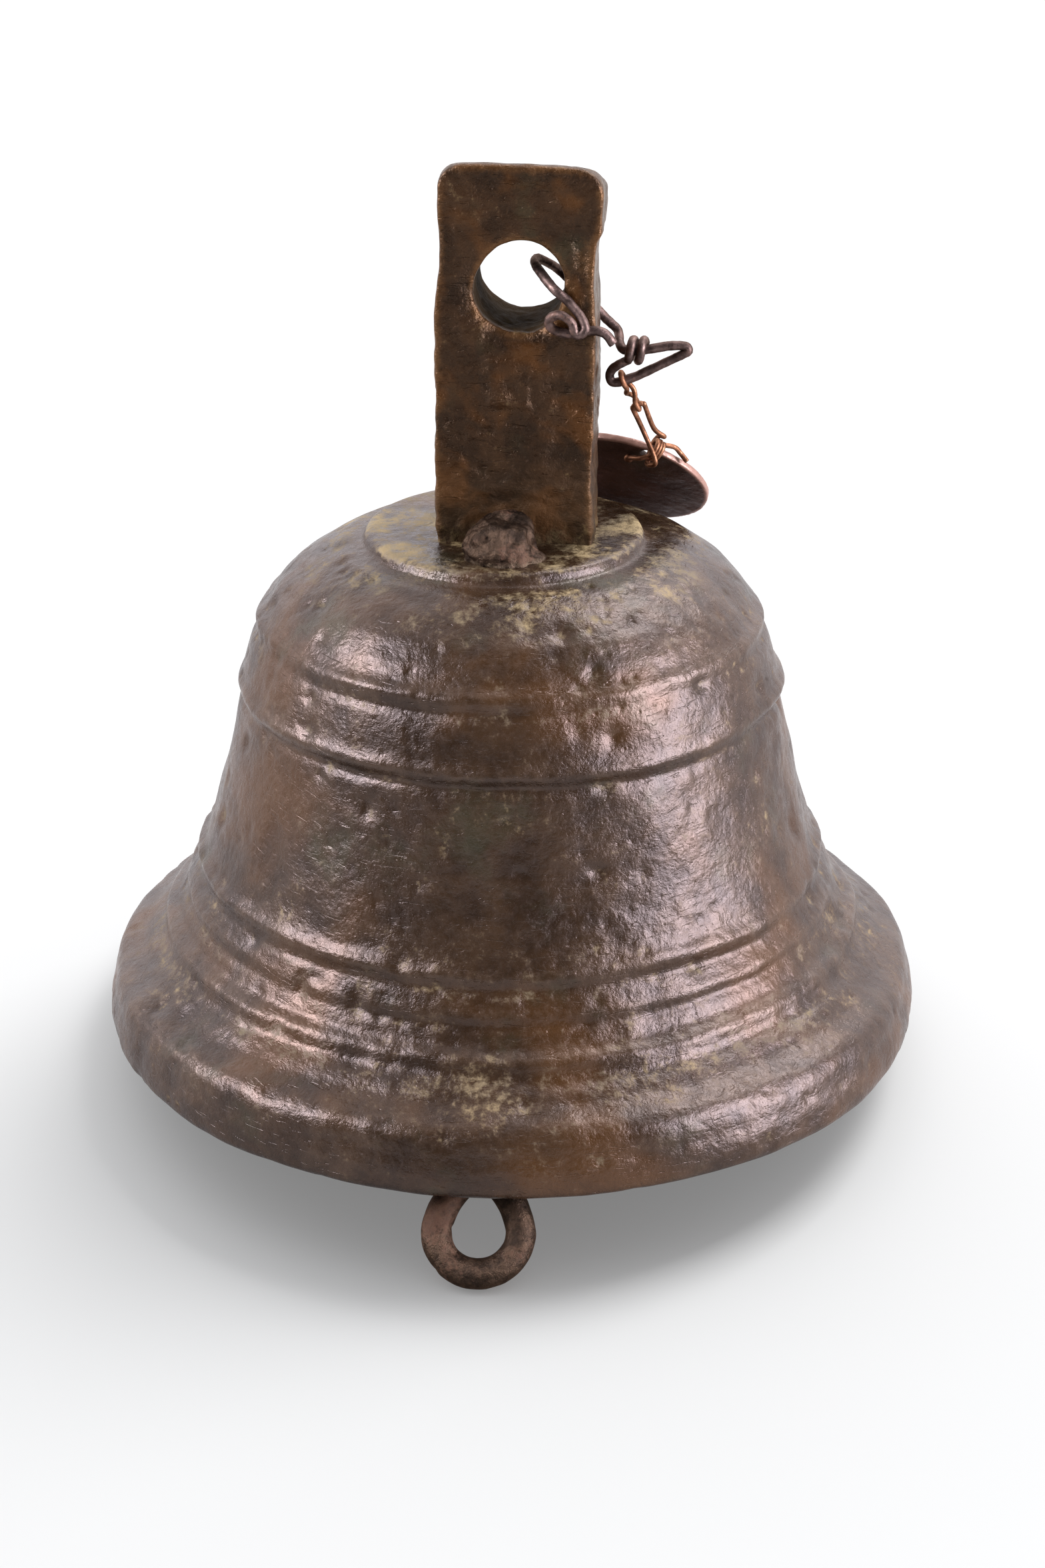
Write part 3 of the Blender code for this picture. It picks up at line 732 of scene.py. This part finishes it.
def bell_looks(mesh, facts, pitted):
    """Wear on the rings and the lip. Dust on the crown plate, the shoulder, beside the rings, on
    the flare, in the pits and all over the inside."""
    wear, dust = [], []
    for vertex, (_, height, outside, around), pit in zip(mesh.vertices, facts, pitted):
        place = vertex.co
        if not outside:
            wear.append(0.0)
            dust.append(0.35 + 0.3 * bumps(place, 0.02, 71))
            continue
        rubbed = 0.12
        dusty = 0.0
        for at, _, half, _ in BEADS:
            rubbed += 0.30 * hill(height, at, half)
            dusty += 0.20 * hill(height, at - 2.0 * half, 0.9 * half)
            dusty += 0.10 * hill(height, at + 2.2 * half, 1.1 * half)
        rubbed += 0.12 * hill(height, 0.0150, 0.0030)
        rubbed += 0.20 * ramp(bumps(place, 0.035, 81), 0.0, 0.5)
        patchy = ramp(bumps(place, 0.011, 91) + 0.5 * bumps(place, 0.004, 92), -0.60, 0.70)
        dusty += ramp(height, 0.1225, 0.1245) * (0.30 + 0.70 * patchy)
        dusty += 0.62 * ramp(height, 0.112, 0.1195) * (1 - ramp(height, 0.1212, 0.1217)) * patchy
        dusty += 0.15 * hill(height, 0.0220, 0.0045) * (1 + 0.8 * bumps(around, 0.5, 95))
        if around.y < 0:
            dusty += 0.12 * hill(height, 0.0210, 0.0060) * hill(around.x, 0.02, 0.40)
        dusty += 0.35 * pit
        wear.append(rubbed)
        dust.append(dusty + 0.12 * bumps(place, 0.02, 75))
    for name, values in (("wear", wear), ("dust", dust)):
        layer = mesh.attributes.new(name, "FLOAT", "POINT")
        layer.data.foreach_set("value", values)


# ---------------------------------------------------------------- bar

def bar_blank():
    """The bar's outline with its hole, as thick as the bar, in the crown frame."""
    left, right = BAR_CENTRE - BAR_WIDTH / 2, BAR_CENTRE + BAR_WIDTH / 2
    outline = [(left, BAR_FOOT), (right, BAR_FOOT)]
    outline += arc((right - BAR_CORNER, BAR_TOP - BAR_CORNER), BAR_CORNER, 0, 90, 10)
    outline += arc((left + BAR_CORNER, BAR_TOP - BAR_CORNER), BAR_CORNER, 90, 180, 10)
    hole = arc(HOLE_CENTRE, HOLE_RADIUS, 0, 360, 64)[:-1]
    curve = bpy.data.curves.new("bar", "CURVE")
    curve.dimensions = "2D"
    curve.fill_mode = "BOTH"
    curve.extrude = BAR_THICKNESS / 2
    for points in (outline, hole):
        spline = curve.splines.new("POLY")
        spline.points.add(len(points) - 1)
        for point, (across, up) in zip(spline.points, points):
            point.co = (across, up, 0, 1)
        spline.use_cyclic_u = True
    mesh = evaluated_mesh(curve)
    mesh.transform(Matrix.Rotation(math.radians(90), 4, "X"))
    slope = bpy.data.meshes.new("slope")
    bm = bmesh.new()
    bmesh.ops.create_cube(bm, size=0.08)
    bm.to_mesh(slope)
    bm.free()
    slope.transform(Matrix.Translation((0, BAR_TOP_FLAT - BAR_THICKNESS / 2, BAR_TOP))
                    @ Matrix.Rotation(-BAR_TOP_SLOPE, 4, "X")
                    @ Matrix.Translation((0, 0.04, 0.04)))
    return cut_by(mesh, slope)


def bar_edge(place):
    """How near a point is to the bar's long edges, top edges and the rim of its hole, 0 to 1."""
    side = BAR_WIDTH / 2 - abs(place.x - BAR_CENTRE)
    face = BAR_THICKNESS / 2 - abs(place.y)
    top = BAR_TOP - place.z - max(place.y + BAR_THICKNESS / 2 - BAR_TOP_FLAT, 0) * math.tan(
        BAR_TOP_SLOPE)
    rim = math.hypot(place.x - HOLE_CENTRE[0], place.z - HOLE_CENTRE[1]) - HOLE_RADIUS
    first, second = sorted((max(side, 0), max(face, 0), max(top, 0), max(rim, 0)))[:2]
    return math.exp(-((first + second) / 0.0017) ** 2)


def bar_relief(place, normal):
    """How far the bar's surface stands out: roughest below its hole."""
    out = 0.00035 * bumps(place, 0.016, 2) + 0.00020 * bumps(place, 0.006, 7)
    low = ramp(place.z, 0.185, 0.155)
    out += (0.00012 + 0.00022 * low) * bumps(place, 0.0028, 9)
    scab = ramp(bumps(place, 0.0065, 17), 0.18, 0.34) * low
    out += 0.00028 * scab
    out -= 0.00045 * ramp(bumps(place, 0.0048, 27), 0.40, 0.62) * (0.4 + 0.6 * low)
    return out


def bar_bend(place):
    """The bar as it was beaten: leaning to the right, with a bulged corner and dents."""
    x, y, z = place
    right = ramp(x, BAR_CENTRE, BAR_CENTRE + BAR_WIDTH / 2)
    left = 1 - ramp(x, BAR_CENTRE - BAR_WIDTH / 2, BAR_CENTRE)
    x += 0.0010 * ramp(z, 0.140, BAR_TOP)
    x += right * (0.0010 * ramp(z, 0.1955, 0.1985) - 0.0007 * hill(z, 0.186, 0.010))
    x += right * 0.0003 * bumps((0, 0, z), 0.017, 31)
    x -= left * (0.0005 * hill(z, 0.181, 0.006) - 0.0007 * hill(z, 0.1935, 0.006))
    x += left * 0.0004 * bumps((0, 0, z), 0.016, 36)
    z -= 0.0007 * right * ramp(z, 0.195, BAR_TOP)
    front = ramp(-y, 0.002, BAR_THICKNESS / 2)
    dent = hill(x, BAR_DENT[0], 0.0018) * hill(z, BAR_DENT[1], 0.0048)
    y += 0.0012 * front * dent
    y += 0.0006 * front * hill(x, 0.0130, 0.0034) * ramp(z, 0.173, 0.165)
    patch = (ramp(abs(x - BAR_SCAB[0]), 0.0052, 0.0040)
             * ramp(abs(z - BAR_SCAB[1]), 0.0060, 0.0046))
    y -= 0.0006 * front * patch * (0.7 + 0.5 * bumps((x, 0, z), 0.0030, 51))
    away = math.hypot(x - HOLE_CENTRE[0], z - HOLE_CENTRE[1]) - HOLE_RADIUS
    y += front * 0.0010 * math.exp(-(max(away, 0) / 0.0022) ** 2) * (
        0.5 + 0.5 * ramp(HOLE_CENTRE[1] + HOLE_CENTRE[0] - x - z, -0.006, 0.010))
    return Vector((x, y, z))


def bar_dark_and_shade(place, normal):
    """Darker towards the bar's foot, and painted shade on the wall of its hole."""
    away = math.hypot(place.x - HOLE_CENTRE[0], place.z - HOLE_CENTRE[1]) - HOLE_RADIUS
    # painted shade on the wall of the hole
    in_hole = (ramp(away, 0.0014, 0.0004)
               * ramp(abs(place.y), BAR_THICKNESS / 2, BAR_THICKNESS / 2 - 0.002))
    return 0.55 * ramp(place.z, 0.150, 0.128) + 0.95 * in_hole


def make_bar():
    mesh = forged(bar_blank(), 0.00060, 16)
    displace(mesh, bar_relief)
    paint(mesh, "wear", lambda p, n: 0.02 + 0.75 * bar_edge(p)
          + 0.45 * hill(p.x, BAR_DENT[0], 0.0026) * hill(p.z, BAR_DENT[1], 0.0060))
    # painted shade on the hole's wall, and darker towards the foot
    paint(mesh, "dark_and_shade", bar_dark_and_shade)
    paint(mesh, "dust", lambda p, n: 0.55 * ramp(p.z, 0.133, PLATE_HEIGHT)
          + 0.175 * ramp(p.z, 0.215, 0.2125) * ramp(n.z, 0.5, 0.9))
    for vertex in mesh.vertices:
        vertex.co = bar_bend(vertex.co)
    mesh.update()
    return finish_piece("bar", mesh, CROWN, "bell", "hanging_bar", "bar_bronze")


# ---------------------------------------------------------------- staple and clapper

def ball_mesh(place, size):
    """An ellipsoid with the given half sizes."""
    mesh = bpy.data.meshes.new("ball")
    bm = bmesh.new()
    bmesh.ops.create_uvsphere(bm, u_segments=48, v_segments=28, radius=1)
    bm.to_mesh(mesh)
    bm.free()
    mesh.transform(Matrix.Translation(place) @ Matrix.Diagonal((*size, 1)))
    return mesh


def make_staple():
    top = PLATE_HEIGHT + 0.003
    bend = [(0, y, z) for y, z in arc((0, PIVOT_HEIGHT), STAPLE_REACH, 180, 360, 40)]
    legs = [Vector((0, -STAPLE_REACH, top))] + [Vector(p) for p in bend]
    legs.append(Vector((0, STAPLE_REACH, top)))
    parts = [tube_mesh([(even_points(legs, 0.0012), False)], STAPLE_WIRE, 5)]
    away = BAR_THICKNESS / 2 + GAP + LUMP_SIZE[1]
    for side in (-1, 1):
        parts.append(ball_mesh((-0.0006, side * away, PLATE_HEIGHT + 0.0018), LUMP_SIZE))
        parts.append(ball_mesh((0.0004, side * (away - 0.0040), PLATE_HEIGHT + 0.0058),
                               (0.0066, 0.0046, 0.0042)))
        parts.append(ball_mesh((0.0012, side * (away + 0.0012), PLATE_HEIGHT + 0.0002),
                               (0.0084, 0.0070, 0.0036)))
    mesh = forged(joined(parts), 0.0006, 2)

    def relief(place, normal):
        beaten = ramp(place.z, PLATE_HEIGHT - 0.006, PLATE_HEIGHT)
        out = (0.00015 + 0.00075 * beaten) * bumps(place, 0.0042, 6)
        out += (0.00005 + 0.00048 * beaten) * bumps(place, 0.0019, 16)
        out += 0.00022 * beaten * bumps(place, 0.0009, 19)
        return out - 0.00070 * beaten * ramp(bumps(place, 0.0034, 26), 0.20, 0.45)
    displace(mesh, relief)
    paint(mesh, "dust", lambda p, n: 0.45 * ramp(p.z, PLATE_HEIGHT + 0.0030, PLATE_HEIGHT)
          * ramp(p.z, PLATE_HEIGHT - 0.004, PLATE_HEIGHT - 0.001))
    return finish_piece("staple", mesh, CROWN, "bell", "crown_staple", "rusty_iron")


def make_clapper_rod():
    shaft = [Vector((0, 0, -(TOP_EYE + TOP_EYE_RADIUS) - 0.0004)),
             Vector((0, 0, -TAIL_EYE_NECK - 0.0012))]
    top = [Vector((x, 0, z - TOP_EYE)) for x, z in arc((0, 0), TOP_EYE_RADIUS, -90, 270, 60)[:-1]]
    low_arc = arc((0, -TAIL_EYE), TAIL_EYE_RADIUS, 170, 370, 12)
    neck = [(0.0070, -TAIL_EYE + 0.0074), (0.0021, -TAIL_EYE_NECK - 0.0012),
            (-0.0021, -TAIL_EYE_NECK - 0.0012), (-0.0070, -TAIL_EYE + 0.0074)]
    tail = smooth_route([(x, 0, z) for x, z in low_arc + neck], 5, cyclic=True)
    tubes = tube_mesh([(even_points(shaft, 0.0012), False), (top, True), (tail, True)],
                      ROD_RADIUS, 5,
                      lambda p: ROD_SWELL[0] + ROD_SWELL[1] * ramp(-p.z, 0.125, 0.140))
    mesh = forged(tubes, 0.00055, 1)
    displace(mesh, lambda p, n: 0.00022 * bumps(p, 0.0080, 4) + 0.00012 * bumps(p, 0.0030, 14)
             - 0.00022 * ramp(bumps(p, 0.0032, 24), 0.35, 0.6))
    return finish_piece("clapper_bar", mesh, CLAPPER, "clapper", "clapper_rod", "rusty_iron")


def make_clapper_ball():
    place = (0, 0, -BALL_PLACE)
    mesh = forged(ball_mesh(place, (BALL_RADIUS, BALL_RADIUS, 0.94 * BALL_RADIUS)), 0.0007, 1)
    displace(mesh, lambda p, n: 0.00030 * bumps(p, 0.010, 4) + 0.00014 * bumps(p, 0.0035, 14)
             - 0.0009 * hill(abs(n.y), 1, 0.10))
    return finish_piece("clapper_head", mesh, CLAPPER, "clapper", "clapper_ball", "ball_iron")


# ---------------------------------------------------------------- wires and tag

def make_iron_tie_wire():
    """One heavy wire round the right side of the bar, ending in a three-cornered loop."""
    front = -BAR_THICKNESS / 2 - IRON_WIRE - GAP
    back = -front
    over = front - 2 * IRON_WIRE - GAP
    knot = [(0.0246, front, 0.1735), (0.0224, front, 0.1760), (0.0186, front, 0.1765),
            (0.0142, front, 0.1757), (0.0107, front - 0.0004, 0.1769),
            (0.0102, front - 0.0012, 0.1793), (0.0126, over, 0.1806), (0.0152, over, 0.1790),
            (0.0163, over - 0.0003, 0.1762), (0.0183, over, 0.1772),
            (0.0172, over + 0.0012, 0.1800)]
    through = [(0.0142, front, 0.1832), (0.0112, front + 0.0006, 0.1856),
               (0.0082, -0.0080, 0.1876), (0.0060, -0.0020, 0.1888), (0.0062, 0.0030, 0.1886),
               (0.0084, 0.0085, 0.1862), (0.0108, back - 0.0004, 0.1832),
               (0.0158, back, 0.1782), (0.0214, back, 0.1722)]
    arch = [(0.0244, 0.0128, 0.1694), (0.0250, 0.0104, 0.1671), (0.0258, 0.0086, 0.1661)]
    core = [COIL_START, COIL_START + Vector((0.0035, 0, 0.0001))]
    triangle = [(0.0368, 0.0080, 0.1672), (0.0402, 0.0080, 0.1672), (0.0412, 0.0080, 0.1662),
                (0.0400, 0.0080, 0.1653), (0.0355, 0.0080, 0.1630), (0.0290, 0.0080, 0.1597),
                (0.0248, 0.0080, 0.1582), (0.0233, 0.0080, 0.1584), (0.0229, 0.0079, 0.1600),
                (0.0236, 0.0074, 0.1616), (0.0252, 0.0066, 0.1630)]
    turns = []
    steps = 24
    for i in range(int(COIL_TURNS * steps) + 1):
        angle = -math.pi / 2 - 0.5 - math.tau * i / steps
        turns.append(COIL_START + Vector((COIL_PITCH * i / steps, COIL_RADIUS * math.cos(angle),
                                          COIL_RADIUS * math.sin(angle))))
    route = smooth_route(knot + through + arch + core + triangle, 8) + smooth_route(turns, 2)
    mesh = tube_mesh([(even_points(route, 0.00030), False)], IRON_WIRE, 4,
                     lambda p: 1 + 0.09 * bumps(p, 0.004, 3))
    displace(mesh, lambda p, n: 0.00007 * bumps(p, 0.0012, 5) + 0.00004 * bumps(p, 0.0006, 9))
    return finish_piece("tie_wire", mesh, CROWN, "tie_wire", "iron_tie_wire", "iron_wire")


def twisted_link(length, top_radius, end_radius, half_turns):
    """A long narrow loop of wire whose two sides cross half_turns times."""
    steps = 22
    route = []
    for x, z in arc((0, 0), top_radius, 0, 180, 14):
        route.append(Vector((0, x, z)))

    def side(sign, t):
        width = top_radius + (end_radius - top_radius) * t
        width *= 1 - 0.45 * math.sin(math.pi * t)
        turn = math.pi * half_turns * ramp(t, 0.15, 0.85)
        return Vector((sign * width * math.sin(turn), sign * width * math.cos(turn), -length * t))
    route += [side(-1, i / steps) for i in range(1, steps)]
    flip = 1 if half_turns % 2 else -1
    for x, z in arc((0, -length), end_radius, 0, -180, 14):
        route.append(Vector((0, flip * x, z)))
    route += [side(1, 1 - i / steps) for i in range(1, steps)]
    return route


def make_copper_link():
    length = (LINK_END - HOOK_POINT).length
    route = twisted_link(length, LINK_TOP_RADIUS, LINK_END_RADIUS, 1)
    mesh = tube_mesh([(route, True)], COPPER_WIRE, 3, lambda p: 1 + 0.06 * bumps(p, 0.003, 2))
    return finish_piece("small_link", mesh, LINK, "link", "copper_link", "copper_wire")


def make_copper_tag_wire():
    """The tag's wire: a long loop through the tag's hole, wound round its edge, with two ends."""
    to_wire = TAG_WIRE.inverted()
    hole = to_wire @ TAG.translation
    turn = (to_wire @ TAG).to_3x3()
    front, outward = turn @ Vector((0, -1, 0)), turn @ Vector((0, 0, 1))
    across = turn @ Vector((1, 0, 0))

    def near(forward, out, side=0.0):
        return hole + front * forward + outward * out + across * (side + TAG_HOLE_SHIFT.x)

    top = [Vector((x, 0, z)) for x, z in arc((0, 0), LINK_END_RADIUS, 0, 180, 8)]
    middle = hole * 0.45
    left = [middle + Vector((-0.0013, 0, 0)), near(0.0042, 0.0052), near(0.0044, 0.0024),
            near(0.0034, 0.0003), near(0.0016, -0.0001)]
    right = [near(-0.0016, -0.0001), near(-0.0030, 0.0008), near(-0.0034, 0.0032),
             near(-0.0022, 0.0062), middle + Vector((0.0013, 0, 0))]
    loop = smooth_route(top + left + right, 8, cyclic=True)
    winding = []
    for i in range(34):
        angle = math.tau * i / 14
        winding.append(near(0.0021 * math.cos(angle) * 1.05,
                            0.0022 + 0.0025 * math.sin(angle), -0.0006 + 0.00075 * i / 14))
    ends = [smooth_route([near(0.0021, 0.0022, -0.0006), near(0.0029, 0.0004, -0.0022),
                          near(0.0026, -0.0018, -0.0034), near(0.0022, -0.0034, -0.0036)], 8),
            smooth_route([near(-0.0010, 0.0045, 0.0012), near(-0.0016, 0.0046, 0.0040),
                          near(-0.0012, 0.0038, 0.0062), near(0.0002, 0.0042, 0.0082)], 8)]
    routes = [(loop, True), (smooth_route(winding, 3), False)] + [(e, False) for e in ends]
    wires = tube_mesh(routes, COPPER_WIRE, 3, lambda p: 1 + 0.06 * bumps(p, 0.003, 4))
    blob = ball_mesh(near(0.0022, -0.0036, -0.0036), (0.0011, 0.0010, 0.0012))
    mesh = joined([wires, blob])
    return finish_piece("tag_loop", mesh, TAG_WIRE, "tag_wire", "copper_tag_wire", "copper_wire")


def make_tag():
    def solid(radius, depth, sides):
        mesh = bpy.data.meshes.new("disc")
        bm = bmesh.new()
        bmesh.ops.create_cone(bm, cap_ends=True, segments=sides, radius1=radius, radius2=radius,
                              depth=depth)
        bm.to_mesh(mesh)
        bm.free()
        mesh.transform(Matrix.Rotation(math.radians(90), 4, "X"))
        return mesh
    disc = solid(TAG_RADIUS, TAG_THICKNESS, 160)
    disc.transform(Matrix.Translation((0, 0, -TAG_HOLE_PLACE)))
    hole = solid(TAG_HOLE_RADIUS + TAG_HOLE_WEAR, 0.01, 40)
    hole.transform(Matrix.Translation(TAG_HOLE_SHIFT))
    mesh = forged(cut_by(disc, hole), 0.00036, 3)
    displace(mesh, lambda p, n: 0.00010 * bumps(p, 0.005, 3) + 0.00005 * bumps(p, 0.0016, 6))

    def rim(place, normal):
        out = math.hypot(place.x, place.z + TAG_HOLE_PLACE)
        return 0.10 + 0.85 * ramp(out, TAG_RADIUS - 0.0012, TAG_RADIUS - 0.0004)
    paint(mesh, "wear", rim)
    paint(mesh, "dust", lambda p, n: 0.30 * ramp(n.y, 0.5, 0.9))
    for vertex in mesh.vertices:
        out = vertex.co.x / TAG_RADIUS
        vertex.co.y += 0.00035 * (out * out - 0.3)
    mesh.update()
    return finish_piece("tag", mesh, TAG, "tag", "tag_disc", "tag_bronze")


make_camera()
make_surroundings()
MATERIALS = make_materials()
make_windows([make_bell(), make_bar(), make_staple(), make_clapper_rod(), make_clapper_ball(),
              make_iron_tie_wire(), make_copper_link(), make_copper_tag_wire(), make_tag()])
